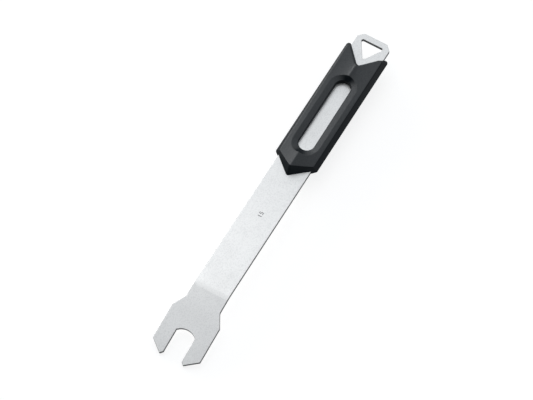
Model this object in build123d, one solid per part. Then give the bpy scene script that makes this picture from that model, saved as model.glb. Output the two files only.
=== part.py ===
from build123d import *

import math
import os

# A pedal wrench for 15 mm flats: one stamped steel blade with a moulded grip round its tail half.
#
# It is built with the blade level, the jaw towards -X, the tail towards +X and +Z up. While it is built,
# x = 0 is where the head's bend would be if it were sharp, and z = 0 is the blade's middle plane. At the
# end both pieces are moved so that the origin is under the middle of the whole, at its lowest point.

os.makedirs("parts", exist_ok=True)

# The blade, in mm and degrees
plate_thickness = 3.0
blade_width = 27.0
edge_break = 0.3  # round on the edges of the two broad faces
corner_round = 0.8  # round on the outline's outer corners

# The bent head. Lengths run along the head, from the bend towards the tips
bend_angle = 11.1
bend_radius = 36.0  # of the middle plane
neck_length = 13.4  # where the shoulders start
shoulder_length = 23.2  # where the shoulders end and the straight sides start
side_length = 50.4  # where the sides end and the prongs narrow
head_length = 57.8  # out to the tips
head_width = 38.0
tip_spread = 19.0  # between the prongs' tips
neck_round = 2.5
tip_round = 0.4

# The jaw
jaw_width = 15.0
jaw_depth = 23.3  # from the tips to the middle of the curved floor
jaw_floor_bulge = 3.1  # how far the floor's middle lies behind its corners
jaw_lead_in = 2.1
jaw_corner_round = 0.9

# The tail and its three-cornered hanging hole
tail_length = 232.6  # from the bend to the tail's end
tail_cut = 4.1  # the cut corners
hang_bar = 4.8  # steel between the hole and the tail's end
hang_depth = 15.7  # the triangle's height and base, before its corners are rounded
hang_width = 19.3
hang_round = 1.3

# The grip. Its x is measured from the bend, its heights from the blade's middle plane
grip_width = 34.5  # at the parting line, its widest
grip_front = 101.6  # the point of the front, where it meets the blade's face
front_sweep = 0.86  # how far the front runs back for each mm across
front_lean = 0.57  # how far the front walls lean back for each mm up
grip_notch = 201.2  # the deepest point of the tail's notch, at the top of the ridge
notch_sweep = 1.08  # how far the notch opens out for each mm across
notch_lean = 0.5
front_ridge = 9.5  # the height of the ridge at the two ends
tail_ridge = 8.8
front_shoulder_across = 14.0  # where the sloping top meets the side walls
front_shoulder_up = 4.3
tail_shoulder_across = 14.85
tail_shoulder_up = 7.1
tail_hollow_across = 3.2  # the control point that hollows the top towards the tail
tail_hollow_up = 6.8
ridge_round = 1.5
prow_round = 1.8
front_corner_round = 2.2
horn_round = 2.4
notch_round = 2.4  # at the top of the ridge
notch_foot_round = 4.0  # at the parting line
top_edge_round = 1.2
parting_round = 0.8

# The window, a slot down to the blade with an upright lip and a dished border
window_middle = 156.4
window_spacing = 51.7  # between the centres of its round ends
window_radius = 6.15
lip_front_height = 4.5  # the lip rises towards the tail
lip_tail_height = 5.5
lip_bevel = 0.3
rim_radius = 10.65  # at the window's sides
rim_front_reach = 11.9  # from the centre of the round end
rim_tail_reach = 9.6
rim_round = 0.8

# Values that follow
half_plate = plate_thickness / 2
half_blade = blade_width / 2
half_head = head_width / 2
half_jaw = jaw_width / 2
half_tips = tip_spread / 2
bend_run = bend_radius * math.tan(math.radians(bend_angle / 2))
mouth_length = head_length - jaw_lead_in
floor_length = head_length - jaw_depth
jaw_corner_length = floor_length + jaw_floor_bulge
hang_base = tail_length - hang_bar
half_grip_width = grip_width / 2
front_middle_across = front_shoulder_across / 2
front_middle_up = (front_ridge + front_shoulder_up) / 2
section_start = grip_front - plate_thickness
section_end = grip_notch + notch_lean * tail_ridge + notch_sweep * half_grip_width
half_window = window_spacing / 2
wide = 5 * grip_width  # anything wider and taller than the grip
tall = 1.25 * max(front_ridge, tail_ridge)  # above the grip's top
notch_top_round = notch_foot_round + (notch_round - notch_foot_round) * tall / tail_ridge
longest_reach = max(rim_front_reach, rim_tail_reach)
near = 0.01  # for finding edges and corners by their place


def plate(outline, height):
    """A plate of the outline, half above and half below the blade's middle plane."""
    return extrude(outline, amount=height / 2, both=True)


def corners_at(sketch, *places):
    """The corners of a sketch that lie at any of the given x."""
    return [v for v in sketch.vertices() if min(abs(v.X - x) for x in places) < near]


# The head, drawn flat
with BuildSketch() as head_outline:
    with BuildLine():
        upper = [
            (-bend_run, half_blade),
            (-neck_length, half_blade),
            (-shoulder_length, half_head),
            (-side_length, half_head),
            (-head_length, half_tips),
            (-mouth_length, half_jaw),
            (-jaw_corner_length, half_jaw),
        ]
        lower = [(x, -y) for x, y in upper]
        Polyline(*upper)
        ThreePointArc(upper[-1], (-floor_length, 0), lower[-1])
        Polyline(*lower)
        Line(lower[0], upper[0])
    make_face()
    fillet(corners_at(head_outline, -neck_length), radius=neck_round)
    fillet(corners_at(head_outline, -jaw_corner_length), radius=jaw_corner_round)
    fillet(corners_at(head_outline, -shoulder_length, -side_length), radius=corner_round)
    fillet(corners_at(head_outline, -head_length, -mouth_length), radius=tip_round)

# The shank and tail
with BuildSketch() as shank_outline:
    with BuildLine():
        Polyline(
            (bend_run, half_blade),
            (tail_length - tail_cut, half_blade),
            (tail_length, half_blade - tail_cut),
            (tail_length, -half_blade + tail_cut),
            (tail_length - tail_cut, -half_blade),
            (bend_run, -half_blade),
            close=True,
        )
    make_face()
    fillet(corners_at(shank_outline, tail_length, tail_length - tail_cut), radius=corner_round)

with BuildSketch() as hang_outline:
    with BuildLine():
        Polyline(
            (hang_base, hang_width / 2),
            (hang_base - hang_depth, 0),
            (hang_base, -hang_width / 2),
            close=True,
        )
    make_face()
    fillet(hang_outline.vertices(), radius=hang_round)

head = plate(head_outline.sketch, plate_thickness).rotate(Axis.Y, -bend_angle)
shank = plate(shank_outline.sketch, plate_thickness) - plate(hang_outline.sketch, 2 * plate_thickness)
bend_section = Plane.YZ.offset(bend_run) * Rectangle(blade_width, plate_thickness)
bend_axis = Axis((bend_run, 0, -bend_radius), (0, 1, 0))
bend = revolve(bend_section, axis=bend_axis, revolution_arc=-bend_angle)
blade = (shank + bend + head).clean()

# The outline edges are those that only one broad face has. The others cross the blade at the bend
broad = [f for f in blade.faces() if abs(f.normal_at().Z) > math.cos(math.radians(2 * bend_angle))]
edges_at = {}
for face in broad:
    for edge in face.edges():
        edges_at.setdefault(tuple(round(c, 3) for c in edge.center()), []).append(edge)
blade = blade.fillet(edge_break, [found[0] for found in edges_at.values() if len(found) == 1])


# The grip is built as its upper half, then mirrored
def section_points(x):
    """The top's ridge, middle control point and shoulder at x, each as (across, up)."""
    share = (x - section_start) / (section_end - section_start)
    front = [(0, front_ridge), (front_middle_across, front_middle_up), (front_shoulder_across, front_shoulder_up)]
    tail = [(0, tail_ridge), (tail_hollow_across, tail_hollow_up), (tail_shoulder_across, tail_shoulder_up)]
    return [(a[0] + (b[0] - a[0]) * share, a[1] + (b[1] - a[1]) * share) for a, b in zip(front, tail)]


def top_height(x, across):
    """The height of the grip's top at a place."""
    ridge, middle, shoulder = section_points(x)
    square = shoulder[0] - 2 * middle[0]
    step = 2 * middle[0]
    if abs(square) < near:
        t = across / step
    else:
        t = (math.sqrt(step**2 + 4 * square * across) - step) / (2 * square)
    return (1 - t) ** 2 * ridge[1] + 2 * t * (1 - t) * middle[1] + t**2 * shoulder[1]


def half_section(x):
    """The outline of the upper half at x."""
    ridge, middle, shoulder = section_points(x)
    other = (-shoulder[0], shoulder[1])
    with BuildSketch(Plane.YZ.offset(x)) as section:
        with BuildLine():
            Bezier(ridge, middle, shoulder)
            Polyline(shoulder, (half_grip_width, 0), (-half_grip_width, 0), other)
            Bezier(other, (-middle[0], middle[1]), ridge)
        make_face()
    return section.sketch.faces()[0].outer_wire()


def wedge_outline(tip, sweep, tip_round, height):
    """A flat outline that opens towards +X from a rounded tip."""
    with BuildSketch(Plane.XY.offset(height)) as outline:
        with BuildLine():
            Polyline((tip, 0), (tip + sweep * wide, wide), (tip + sweep * wide, -wide), close=True)
        make_face()
        fillet(corners_at(outline, tip), radius=tip_round)
    return outline.sketch.faces()[0].outer_wire()


def leaning_wedge(tip, tip_up, sweep, lean, foot_round, top_round):
    """A wedge whose tip is at x = tip at the height tip_up, and that leans by so much in x for each mm up."""
    foot = wedge_outline(tip - lean * tip_up, sweep, foot_round, 0)
    top = wedge_outline(tip + lean * (tall - tip_up), sweep, top_round, tall)
    return Solid.make_loft([foot, top], ruled=True)


upper_half = Solid.make_loft([half_section(section_start), half_section(section_end)], ruled=True)
upper_half &= leaning_wedge(grip_front, half_plate, front_sweep, front_lean, prow_round, prow_round)
upper_half -= leaning_wedge(
    grip_notch, tail_ridge, notch_sweep, -notch_lean, notch_foot_round, notch_top_round
)
upper_half = upper_half.solids()[0]


def upright_corners(shape, low_x, high_x):
    """The edges that rise from the parting plane to the top's outer corners."""
    found = []
    for edge in shape.edges():
        box = edge.bounding_box()
        outer = abs(edge.center().Y) > half_grip_width / 2
        if box.min.Z < near and box.size.Z > front_shoulder_up / 2 and outer and low_x < edge.center().X < high_x:
            found.append(edge)
    return found


upper_half = upper_half.fillet(front_corner_round, upright_corners(upper_half, section_start, window_middle))
upper_half = upper_half.fillet(horn_round, upright_corners(upper_half, window_middle, section_end))
ridge_line = [e for e in upper_half.edges() if abs(e.center().Y) < near and e.length > window_spacing]
upper_half = upper_half.fillet(ridge_round, ridge_line)
top_outline = [
    e
    for e in upper_half.edges()
    if e.bounding_box().min.Z > front_shoulder_up / 2
    and (e.length < window_spacing or abs(e.center().Y) > half_grip_width / 2)
]
upper_half = upper_half.fillet(top_edge_round, top_outline)


# The window's dished border, cut by tools lofted through sections that stand round the slot
def dish_section(end, angle):
    """The cutter's section at one round end, turned from the axis by an angle. end is -1 or 1."""
    centre = window_middle + end * half_window
    across = math.sin(math.radians(angle))
    end_reach, lip_height = (rim_front_reach, lip_front_height) if end < 0 else (rim_tail_reach, lip_tail_height)
    reach = end_reach + (rim_radius - end_reach) * across**2
    rise = top_height(centre + end * reach * math.cos(math.radians(angle)), abs(reach * across))
    inner = window_radius - half_plate
    foot = window_radius + lip_bevel
    outer = foot + (reach - foot) * (tall - lip_height) / (rise - lip_height)
    profile = [
        (inner, lip_height - lip_bevel - (window_radius - inner)),
        (foot, lip_height),
        (outer, tall),
        (inner, tall),
    ]
    out = Vector(end * math.cos(math.radians(angle)), across, 0)
    return Wire.make_polygon([Vector(centre, 0, 0) + out * r + Vector(0, 0, z) for r, z in profile], close=True)


turns = [-90 + 15 * i for i in range(13)]
dish = [Solid.make_loft([dish_section(end, angle) for angle in turns]) for end in (-1, 1)]
dish += [Solid.make_loft([dish_section(-1, angle), dish_section(1, angle)], ruled=True) for angle in (-90, 90)]
slot = Pos(window_middle, 0) * SlotCenterToCenter(window_spacing, 2 * window_radius)
upper_half -= extrude(slot, amount=tall)
for cutter in dish:
    upper_half -= cutter
upper_half = upper_half.solids()[0]
rim = [
    e
    for e in upper_half.edges()
    if e.bounding_box().min.Z > max(lip_front_height, lip_tail_height) + near
    and abs(e.center().X - window_middle) < half_window + longest_reach
    and abs(e.center().Y) < rim_radius + near
]
upper_half = upper_half.fillet(rim_round, rim)
grip = upper_half + upper_half.mirror(Plane.XY)
parting = [e for e in grip.edges() if max(abs(e.bounding_box().min.Z), abs(e.bounding_box().max.Z)) < near]
grip = grip.fillet(parting_round, parting)
grip = (grip - blade).solids()[0]

# Both pieces move to the shared origin
whole = blade.bounding_box()
place = Location((-whole.center().X, 0, -whole.min.Z))
blade = blade.moved(place)
grip = grip.moved(place)
export_step(blade, "parts/blade.step")
export_step(grip, "parts/grip.step")
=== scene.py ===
"""Pedal wrench: a stamped steel blade with a black moulded grip, on a pale studio floor."""

import logging
import math
from dataclasses import dataclass
from enum import Enum
from typing import Any, Mapping, Optional, Sequence, Union

import bpy
from mathutils import Euler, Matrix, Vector


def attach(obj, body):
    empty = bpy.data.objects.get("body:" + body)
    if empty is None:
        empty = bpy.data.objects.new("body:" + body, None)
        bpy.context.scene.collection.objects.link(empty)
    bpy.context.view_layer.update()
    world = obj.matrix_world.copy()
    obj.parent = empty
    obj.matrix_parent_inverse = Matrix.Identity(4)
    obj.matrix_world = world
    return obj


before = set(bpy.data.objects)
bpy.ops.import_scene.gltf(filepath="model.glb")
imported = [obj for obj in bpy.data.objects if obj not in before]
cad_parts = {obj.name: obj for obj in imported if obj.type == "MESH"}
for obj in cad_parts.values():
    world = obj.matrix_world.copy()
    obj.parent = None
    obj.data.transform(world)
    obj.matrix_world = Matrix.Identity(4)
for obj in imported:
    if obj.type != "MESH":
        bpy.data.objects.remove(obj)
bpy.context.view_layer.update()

MM = 0.001
ROOT = "root"

log = logging.getLogger("pedal_wrench")

# The value that a noise is mostly near
NOISE_MIDDLE = 0.5

Colour = tuple[float, float, float]
Point = tuple[float, float, float]
Band = tuple[float, float]
Number = Union[float, "Signal"]


# Shader trees


class Operation(Enum):
    """The Math node's operations that the finishes use."""

    ADD = "ADD"
    SUBTRACT = "SUBTRACT"
    MULTIPLY = "MULTIPLY"
    ABSOLUTE = "ABSOLUTE"
    MAXIMUM = "MAXIMUM"


class Signal:
    """A number output in a shader tree, on which Python's operators add Math nodes."""

    def __init__(self, tree: "ShaderTree", socket: bpy.types.NodeSocket) -> None:
        """Keeps the output and the tree it belongs to.

        Args:
            tree: The shader tree.
            socket: The node's output.
        """
        self.tree = tree
        self.socket = socket

    def __add__(self, other: Number) -> "Signal":
        """Returns the sum."""
        return self.tree.math(Operation.ADD, self, other)

    def __radd__(self, other: Number) -> "Signal":
        """Returns the sum, from the right."""
        return self.tree.math(Operation.ADD, other, self)

    def __sub__(self, other: Number) -> "Signal":
        """Returns the difference."""
        return self.tree.math(Operation.SUBTRACT, self, other)

    def __rsub__(self, other: Number) -> "Signal":
        """Returns the difference, from the right."""
        return self.tree.math(Operation.SUBTRACT, other, self)

    def __mul__(self, other: Number) -> "Signal":
        """Returns the product."""
        return self.tree.math(Operation.MULTIPLY, self, other)

    def __rmul__(self, other: Number) -> "Signal":
        """Returns the product, from the right."""
        return self.tree.math(Operation.MULTIPLY, other, self)

    def __abs__(self) -> "Signal":
        """Returns the size without its sign."""
        return self.tree.math(Operation.ABSOLUTE, self)


class ShaderTree:
    """The nodes of one material or world, with the short forms that the finishes use."""

    def __init__(self, owner: Union[bpy.types.Material, bpy.types.World]) -> None:
        """Empties the owner's node tree.

        Args:
            owner: The material or world whose nodes are made.
        """
        owner.use_nodes = True
        self.nodes = owner.node_tree.nodes
        self.links = owner.node_tree.links
        self.nodes.clear()

    def node(
        self,
        kind: str,
        settings: Optional[Mapping[str, Any]] = None,
        inputs: Optional[Mapping[Union[str, int], Any]] = None,
    ) -> bpy.types.Node:
        """Adds a node.

        Args:
            kind: The node's type.
            settings: Its properties, which are set first.
            inputs: The value or link of each of its sockets.

        Returns:
            The node.
        """
        made = self.nodes.new(kind)
        for name, value in (settings or {}).items():
            setattr(made, name, value)
        for key, value in (inputs or {}).items():
            if isinstance(value, Signal):
                value = value.socket
            if isinstance(value, bpy.types.NodeSocket):
                self.links.new(value, made.inputs[key])
            else:
                made.inputs[key].default_value = value
        return made

    def math(self, operation: Operation, *operands: Number) -> Signal:
        """Adds a Math node.

        Args:
            operation: Its operation.
            operands: Numbers or signals, in the order of its sockets.

        Returns:
            The result.
        """
        made = self.node("ShaderNodeMath", {"operation": operation.value}, dict(enumerate(operands)))
        return Signal(self, made.outputs[0])

    def ramp(self, value: Number, low: float, high: float) -> Signal:
        """Adds a smooth rise.

        Args:
            value: The number that rises.
            low: Where the result is 0, which may be the larger of the two.
            high: Where the result is 1.

        Returns:
            The result, from 0 to 1.
        """
        settings = {"interpolation_type": "SMOOTHSTEP"}
        inputs = {"Value": value, "From Min": low, "From Max": high}
        made = self.node("ShaderNodeMapRange", settings, inputs)
        return Signal(self, made.outputs["Result"])

    def place(self) -> bpy.types.NodeSocket:
        """Returns the point on the piece, in metres."""
        return self.node("ShaderNodeTexCoord").outputs["Object"]

    def facing(self) -> bpy.types.NodeSocket:
        """Returns the surface's direction in the piece's own axes."""
        return self.node("ShaderNodeTexCoord").outputs["Normal"]

    def axes(self, vector: bpy.types.NodeSocket) -> tuple[Signal, Signal, Signal]:
        """Returns a vector's three parts."""
        outputs = self.node("ShaderNodeSeparateXYZ", inputs={"Vector": vector}).outputs
        return Signal(self, outputs[0]), Signal(self, outputs[1]), Signal(self, outputs[2])

    def stretched(self, vector: bpy.types.NodeSocket, by: Point) -> bpy.types.NodeSocket:
        """Returns a vector with each part multiplied."""
        settings = {"operation": "MULTIPLY"}
        return self.node("ShaderNodeVectorMath", settings, {0: vector, 1: by}).outputs[0]

    def noise(self, vector: bpy.types.NodeSocket, size: float, detail: float = 2.0) -> Signal:
        """Adds a cloudy noise.

        Args:
            vector: Where it is read, in metres.
            size: The size of its largest grains, in metres.
            detail: How many finer layers it has.

        Returns:
            The noise, from 0 to 1, mostly near 0.5.
        """
        inputs = {"Vector": vector, "Scale": 1 / size, "Detail": detail}
        made = self.node("ShaderNodeTexNoise", inputs=inputs)
        return Signal(self, made.outputs["Fac"])

    def grains(self, vector: bpy.types.NodeSocket, size: float) -> Signal:
        """Adds small rounded pits, size metres apart, as the distance from the nearest one's middle."""
        made = self.node("ShaderNodeTexVoronoi", inputs={"Vector": vector, "Scale": 1 / size})
        return Signal(self, made.outputs["Distance"])

    def tint(self, share: Number, first: Any, second: Any) -> bpy.types.NodeSocket:
        """Mixes two colours.

        Args:
            share: How much of the second colour shows.
            first: A colour, or the output of another mix.
            second: A colour, or the output of another mix.

        Returns:
            The mixed colour.
        """
        made = self.node("ShaderNodeMix", {"data_type": "RGBA", "clamp_factor": True})
        colours = [(*c, 1.0) if isinstance(c, tuple) else c for c in (first, second)]
        wanted = {"Factor_Float": share, "A_Color": colours[0], "B_Color": colours[1]}
        for socket in made.inputs:
            if socket.identifier not in wanted:
                continue
            value = wanted[socket.identifier]
            value = value.socket if isinstance(value, Signal) else value
            if isinstance(value, bpy.types.NodeSocket):
                self.links.new(value, socket)
            else:
                socket.default_value = value
        return next(o for o in made.outputs if o.identifier == "Result_Color")

    def bump(self, height: Signal, depth: float) -> bpy.types.NodeSocket:
        """Returns the normal of a surface whose height runs from 0 to 1 over the given depth in metres."""
        made = self.node("ShaderNodeBump", inputs={"Height": height, "Distance": depth, "Strength": 1.0})
        return made.outputs["Normal"]

    def surface(self, inputs: Mapping[str, Any]) -> None:
        """Closes the tree with a Principled shader.

        Args:
            inputs: The value or link of each socket that isn't left as it is.
        """
        shader = self.node("ShaderNodeBsdfPrincipled", inputs=inputs)
        self.node("ShaderNodeOutputMaterial", inputs={"Surface": shader.outputs["BSDF"]})


# Finishes


@dataclass(frozen=True)
class SatinSteel:
    """Finely blasted sheet steel with sheared edges whose dark colour is partly painted shade.

    The broad faces are pale and satin, with a fine even mottle and a faint grain along the
    blade. The sheared walls, with their rounded corners, are rougher, with fine upright marks,
    and their near-black colour is partly painted shade, darker than bare sheared steel.
    """

    name: str = "satin_steel"
    face: Colour = (0.814, 0.803, 0.786)
    speck: Colour = (0.650, 0.642, 0.629)
    # Colours of the sheared walls: partly painted shade, far darker than bare sheared steel
    cut_with_shade: Colour = (0.080, 0.082, 0.085)
    cut_marks_with_shade: Colour = (0.045, 0.046, 0.048)
    roughness: float = 0.40
    cut_roughness: float = 0.52
    broad_upright: float = 0.93
    wall_upright: float = 0.6
    pit: float = 0.45 * MM
    mottle: float = 0.8 * MM
    cloud: float = 30 * MM
    grain: float = 0.5 * MM
    stretch: float = 0.04
    shear_mark: float = 0.35 * MM
    pit_depth: float = 0.012 * MM
    mark_height: float = 0.7
    grain_in_speckle: float = 0.25
    speckle_band: Band = (0.42, 0.72)
    speckle_share: float = 0.55
    cloud_band: Band = (0.45, 0.75)
    cloud_share: float = 0.2
    mark_band: Band = (0.35, 0.65)
    mottle_roughness: float = 0.08
    cloud_roughness: float = 0.05

    def material(self) -> bpy.types.Material:
        """Builds the finish.

        Returns:
            The material.
        """
        made = bpy.data.materials.new(self.name)
        tree = ShaderTree(made)
        place = tree.place()
        upright = abs(tree.axes(tree.facing())[2])
        wall = tree.ramp(upright, self.broad_upright, self.wall_upright)
        along_blade = tree.stretched(place, (self.stretch, 1.0, 1.0))
        up_wall = tree.stretched(place, (1.0, 1.0, self.stretch))

        pits = tree.grains(place, self.pit)
        mottle = tree.noise(place, self.mottle, detail=3.0)
        cloud = tree.noise(place, self.cloud)
        grain = tree.noise(along_blade, self.grain)
        marks = tree.noise(up_wall, self.shear_mark)

        speckle = tree.ramp(mottle + self.grain_in_speckle * (grain - NOISE_MIDDLE), *self.speckle_band)
        darker = self.speckle_share * speckle + self.cloud_share * tree.ramp(cloud, *self.cloud_band)
        face = tree.tint(darker, self.face, self.speck)
        # Painted shade: the sheared walls take a near-black colour that stands in for shade, over their
        # real rougher marked finish
        cut_with_shade = tree.tint(tree.ramp(marks, *self.mark_band), self.cut_with_shade, self.cut_marks_with_shade)
        height = pits * (1 - wall) + self.mark_height * marks * wall
        mottled = self.mottle_roughness * (mottle - NOISE_MIDDLE)
        clouded = self.cloud_roughness * (cloud - NOISE_MIDDLE)
        rougher = wall * (self.cut_roughness - self.roughness)
        tree.surface(
            {
                "Base Color": tree.tint(wall, face, cut_with_shade),
                "Metallic": 1.0,
                "Roughness": self.roughness + mottled + clouded + rougher,
                "Normal": tree.bump(height, self.pit_depth),
            }
        )
        return made


@dataclass(frozen=True)
class MattMoulding:
    """Black semi-matt moulded grip with a fine sparked texture from its mould.

    The colour is nearly even, with a slightly greyer bloom. The broad upper and lower faces
    have a painted sheen, with fine duller spots, and the steep walls are dull, which paints
    shade on the walls. A faint parting line runs round the side walls.
    """

    name: str = "matt_black_moulding"
    colour: Colour = (0.0062, 0.0090, 0.0115)
    bloom: Colour = (0.0105, 0.0145, 0.0180)
    roughness: float = 0.55
    specular: float = 0.04
    sheen: float = 1.0
    wall_sheen: float = 0.07
    sheen_roughness: float = 0.33
    sheen_ior: float = 1.60
    wall_upright: float = 0.75
    broad_upright: float = 0.925
    dulling: float = 0.15
    dull_spot: float = 0.9 * MM
    dull_band: Band = (0.38, 0.66)
    spark: float = 0.32 * MM
    spark_depth: float = 0.02 * MM
    spark_band: Band = (0.5, 0.8)
    spark_bloom: float = 0.35
    spark_roughness: float = 0.08
    flow: float = 9 * MM
    flow_band: Band = (0.4, 0.75)
    flow_bloom: float = 0.5
    flow_roughness: float = 0.12
    parting_height: float = 12.52 * MM
    parting_width: float = 0.12 * MM
    parting_core: float = 0.036 * MM
    parting_rise: float = 2.0

    def material(self) -> bpy.types.Material:
        """Builds the finish.

        Returns:
            The material.
        """
        made = bpy.data.materials.new(self.name)
        tree = ShaderTree(made)
        place = tree.place()
        sparks = tree.noise(place, self.spark, detail=4.0)
        flow = tree.noise(place, self.flow, detail=3.0)
        height = tree.axes(place)[2]
        # Painted sheen and shade: the coat is full on faces that look up or down and thin on steep walls,
        # so the walls render darker as if in shade
        broad = tree.ramp(abs(tree.axes(tree.facing())[2]), self.wall_upright, self.broad_upright)
        dull = tree.ramp(tree.noise(place, self.dull_spot, detail=3.0), *self.dull_band)
        painted_sheen = broad * (1 - self.dulling * dull)
        parting = tree.ramp(abs(height - self.parting_height), self.parting_width, self.parting_core)
        flow_share = self.flow_bloom * tree.ramp(flow, *self.flow_band)
        spark_share = self.spark_bloom * tree.ramp(sparks, *self.spark_band)
        flowing = self.flow_roughness * (flow - NOISE_MIDDLE)
        sparking = self.spark_roughness * (sparks - NOISE_MIDDLE)
        tree.surface(
            {
                "Base Color": tree.tint(flow_share + spark_share, self.colour, self.bloom),
                "Roughness": self.roughness + flowing + sparking,
                "Specular IOR Level": self.specular,
                "Coat Weight": self.wall_sheen + (self.sheen - self.wall_sheen) * painted_sheen,
                "Coat Roughness": self.sheen_roughness,
                "Coat IOR": self.sheen_ior,
                "Normal": tree.bump(sparks + self.parting_rise * parting, self.spark_depth),
            }
        )
        return made


@dataclass(frozen=True)
class EtchedGrey:
    """The dark grey of a size mark on steel, with fine paler spots."""

    name: str = "etched_grey"
    colour: Colour = (0.030, 0.031, 0.033)
    pale: Colour = (0.060, 0.062, 0.065)
    metallic: float = 0.3
    roughness: float = 0.6
    spot: float = 0.18 * MM
    spot_depth: float = 0.006 * MM
    spot_band: Band = (0.4, 0.65)
    spot_roughness: float = 0.1

    def material(self) -> bpy.types.Material:
        """Builds the finish.

        Returns:
            The material.
        """
        made = bpy.data.materials.new(self.name)
        tree = ShaderTree(made)
        spots = tree.noise(tree.place(), self.spot, detail=3.0)
        tree.surface(
            {
                "Base Color": tree.tint(tree.ramp(spots, *self.spot_band), self.colour, self.pale),
                "Metallic": self.metallic,
                "Roughness": self.roughness + self.spot_roughness * (spots - NOISE_MIDDLE),
                "Normal": tree.bump(spots, self.spot_depth),
            }
        )
        return made


# Pieces


class Piece:
    """What every part of the wrench can do with its meshes."""

    @staticmethod
    def clear_selection() -> None:
        """Deselects all, so that the next operator acts on the new piece alone."""
        bpy.ops.object.select_all(action="DESELECT")

    @staticmethod
    def dress(piece: bpy.types.Object, material: bpy.types.Material) -> None:
        """Gives the whole piece one material.

        Args:
            piece: The object.
            material: Its finish.
        """
        if not piece.material_slots:
            piece.data.materials.append(material)
        for place in piece.material_slots:
            place.material = material

    @staticmethod
    def mount(piece: bpy.types.Object, slot: str) -> None:
        """Makes a new piece ride on the wrench.

        Args:
            piece: The object, in its place.
            slot: The name of a material slot; it is not used.
        """
        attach(piece, ROOT)


@dataclass
class Blade(Piece):
    """The steel blade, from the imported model."""

    node: str = "blade"
    finish: SatinSteel = SatinSteel()

    def build(self) -> bpy.types.Object:
        """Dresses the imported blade.

        Returns:
            The blade's object.
        """
        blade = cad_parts[self.node]
        self.dress(blade, self.finish.material())
        return blade


@dataclass
class Grip(Piece):
    """The moulded grip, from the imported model."""

    node: str = "grip"
    finish: MattMoulding = MattMoulding()

    def build(self) -> bpy.types.Object:
        """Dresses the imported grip.

        Returns:
            The grip's object.
        """
        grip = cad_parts[self.node]
        self.dress(grip, self.finish.material())
        return grip


@dataclass
class SizeMark(Piece):
    """The jaw's width in plain digits on the shank, as a thin film on the steel."""

    digits: str = "15"
    middle_x: float = -22.3 * MM
    top_of_steel: float = 14.021 * MM
    digit_height: float = 3.2 * MM
    height_share: float = 0.7
    spacing: float = 1.1
    stroke_gain: float = 0.005 * MM
    proud: float = 0.015 * MM
    sunk: float = 0.015 * MM
    merge_within: float = 0.002 * MM
    slot: str = "steel"
    finish: EtchedGrey = EtchedGrey()

    def build(self) -> bpy.types.Object:
        """Sets the digits, makes them a closed mesh and lays them on the shank.

        Returns:
            The mark's object.
        """
        self.clear_selection()
        middle_z = self.top_of_steel + (self.proud - self.sunk) / 2
        bpy.ops.object.text_add(location=(self.middle_x, 0, middle_z))
        mark = bpy.context.object
        mark.name = "size_mark"
        mark.data.body = self.digits
        mark.data.align_x = "CENTER"
        mark.data.align_y = "CENTER"
        mark.data.size = self.digit_height / self.height_share
        mark.data.space_character = self.spacing
        mark.data.offset = self.stroke_gain
        mark.data.extrude = (self.proud + self.sunk) / 2
        bpy.ops.object.convert(target="MESH")
        bpy.ops.object.mode_set(mode="EDIT")
        bpy.ops.mesh.select_all(action="SELECT")
        bpy.ops.mesh.remove_doubles(threshold=self.merge_within)
        bpy.ops.mesh.normals_make_consistent(inside=False)
        bpy.ops.object.mode_set(mode="OBJECT")
        bpy.ops.object.transform_apply(location=True, rotation=True, scale=True)
        self.dress(mark, self.finish.material())
        self.mount(mark, self.slot)
        return mark


# Studio


@dataclass(frozen=True)
class SoftLamp:
    """One rectangular lamp.

    Its power is given as the light it puts on a surface that faces it at the wrench, where
    1 shows a white surface as white.
    """

    name: str
    place: Point
    target: Point
    width: float
    length: float
    level: float

    def build(self) -> bpy.types.Object:
        """Makes the lamp and turns it to its target.

        Returns:
            The lamp's object.
        """
        data = bpy.data.lights.new(self.name, "AREA")
        data.shape = "RECTANGLE"
        data.size = self.width
        data.size_y = self.length
        away = Vector(self.place) - Vector(self.target)
        # White shows as 1 at an irradiance of pi, and this lamp's is its power / (pi * distance ** 2)
        data.energy = self.level * math.pi * math.pi * away.length_squared
        lamp = bpy.data.objects.new(self.name, data)
        lamp.location = self.place
        lamp.rotation_euler = away.to_track_quat("Z", "Y").to_euler()
        bpy.context.scene.collection.objects.link(lamp)
        return lamp


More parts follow.
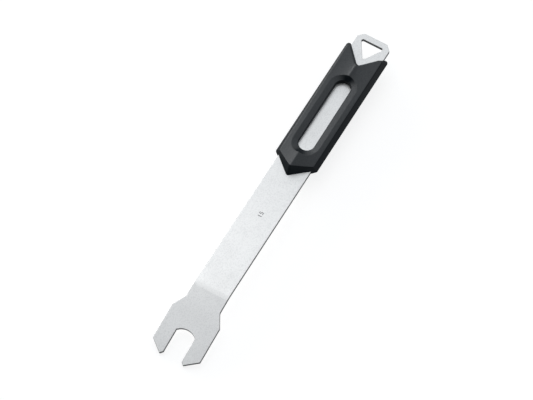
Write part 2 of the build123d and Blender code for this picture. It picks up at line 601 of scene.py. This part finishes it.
@dataclass
class Studio:
    """The floor with its raised rim, the light and the camera.

    The rim is the backdrop of the low views. The room is brightest above and a little towards
    the tail. A low bank of light stands on each side, the stronger one on the left in the main
    view, with a weak lamp high above it. A small near lamp brightens the shank beside the bend.
    """

    floor_radius: float = 4.0
    rim_height: float = 0.9
    rim_round: float = 0.6
    rim_segments: int = 8
    floor_sides: int = 96
    floor_colour: Colour = (0.34, 0.34, 0.34)
    floor_glow: float = 0.80
    room_dim: float = 0.12
    room_bright: float = 0.97
    room_from: Point = (0.50, 0.30, 0.81)
    room_low: float = 0.20
    room_high: float = 1.12
    room_tint: Colour = (0.953, 1.0, 1.050)
    camera_place: Point = (-0.6451, -0.3697, 1.4641)
    camera_turn: Point = (26.904, 0.0, -59.621)
    lens: float = 155.1
    sensor: float = 36.0
    lamps: Sequence[SoftLamp] = (
        SoftLamp("top_lamp", (0.05, 0.23, 0.55), (-0.08, 0.0, 0.01), 0.25, 0.25, 0.055),
        SoftLamp("left_lamp", (0.47, 0.77, 0.95), (0.03, 0.0, 0.0), 0.5, 0.5, 0.03),
        SoftLamp("left_bank", (0.43, 1.22, 0.18), (0.03, 0.0, 0.0), 1.3, 0.7, 0.78),
        SoftLamp("right_bank", (0.03, -1.29, 0.18), (0.03, 0.0, 0.0), 0.8, 0.7, 0.22),
    )

    def floor_material(self) -> bpy.types.Material:
        """Makes a pale matt finish that the camera sees as white where it is lit, and that keeps shadows.

        Returns:
            The material.
        """
        material = bpy.data.materials.new("pale_floor")
        tree = ShaderTree(material)
        matt = tree.node("ShaderNodeBsdfDiffuse", inputs={"Color": (*self.floor_colour, 1.0)})
        glow = tree.node("ShaderNodeEmission", inputs={"Strength": self.floor_glow})
        path = tree.node("ShaderNodeLightPath").outputs
        camera, glossy, through = (
            Signal(tree, path[kind]) for kind in ("Is Camera Ray", "Is Glossy Ray", "Is Transmission Ray")
        )
        seen = tree.math(Operation.MAXIMUM, tree.math(Operation.MAXIMUM, camera, glossy), through)
        lit = tree.node("ShaderNodeAddShader", inputs={0: matt.outputs[0], 1: glow.outputs[0]})
        shown = tree.node("ShaderNodeMixShader", inputs={0: seen, 1: matt.outputs[0], 2: lit.outputs[0]})
        tree.node("ShaderNodeOutputMaterial", inputs={"Surface": shown.outputs[0]})
        return material

    def build_floor(self) -> bpy.types.Object:
        """Lays a round pale floor and turns its rim up in a smooth cove.

        Returns:
            The floor's object.
        """
        Piece.clear_selection()
        bpy.ops.mesh.primitive_circle_add(
            vertices=self.floor_sides, radius=self.floor_radius, fill_type="NGON"
        )
        floor = bpy.context.object
        floor.name = "floor"
        bpy.ops.object.mode_set(mode="EDIT")
        bpy.ops.mesh.select_all(action="SELECT")
        bpy.ops.mesh.region_to_loop()
        bpy.ops.mesh.extrude_region_move(TRANSFORM_OT_translate={"value": (0, 0, self.rim_height)})
        bpy.ops.object.mode_set(mode="OBJECT")
        for edge in floor.data.edges:
            edge.select = all(floor.data.vertices[v].co.z < self.rim_height / 2 for v in edge.vertices)
        bpy.ops.object.mode_set(mode="EDIT")
        bpy.ops.mesh.bevel(offset=self.rim_round, segments=self.rim_segments, affect="EDGES")
        bpy.ops.object.mode_set(mode="OBJECT")
        bpy.ops.object.shade_smooth()
        Piece.dress(floor, self.floor_material())
        return floor

    def build_world(self) -> None:
        """Lights the room with a soft rise of brightness towards room_from."""
        world = bpy.data.worlds.new("studio")
        bpy.context.scene.world = world
        tree = ShaderTree(world)
        way = tree.node("ShaderNodeTexCoord").outputs["Generated"]
        dot = tree.node("ShaderNodeVectorMath", {"operation": "DOT_PRODUCT"}, {0: way, 1: self.room_from})
        share = tree.ramp(Signal(tree, dot.outputs["Value"]), self.room_low, self.room_high)
        level = self.room_dim + (self.room_bright - self.room_dim) * share
        sky = tree.node("ShaderNodeBackground", inputs={"Color": (*self.room_tint, 1.0), "Strength": level})
        tree.node("ShaderNodeOutputWorld", inputs={"Surface": sky.outputs[0]})

    def build_camera(self) -> bpy.types.Object:
        """Sets up the camera at the photograph's viewing angle.

        Returns:
            The camera's object.
        """
        data = bpy.data.cameras.new("camera")
        data.lens = self.lens
        data.sensor_width = self.sensor
        camera = bpy.data.objects.new("camera", data)
        camera.location = self.camera_place
        camera.rotation_euler = Euler([math.radians(a) for a in self.camera_turn])
        bpy.context.scene.collection.objects.link(camera)
        bpy.context.scene.camera = camera
        return camera

    def build(self) -> None:
        """Builds the whole studio."""
        self.build_world()
        self.build_floor()
        for lamp in self.lamps:
            lamp.build()
        self.build_camera()
        bpy.context.scene.view_settings.view_transform = "Standard"


def main() -> None:
    """Builds the wrench and its studio in order, and reports each piece."""
    logging.basicConfig(level=logging.INFO, format="%(name)s: %(message)s")
    for part in (Blade(), Grip(), SizeMark()):
        piece = part.build()
        log.info("%s: %d faces", piece.name, len(piece.data.polygons))
    Studio().build()


if __name__ == "__main__":
    main()
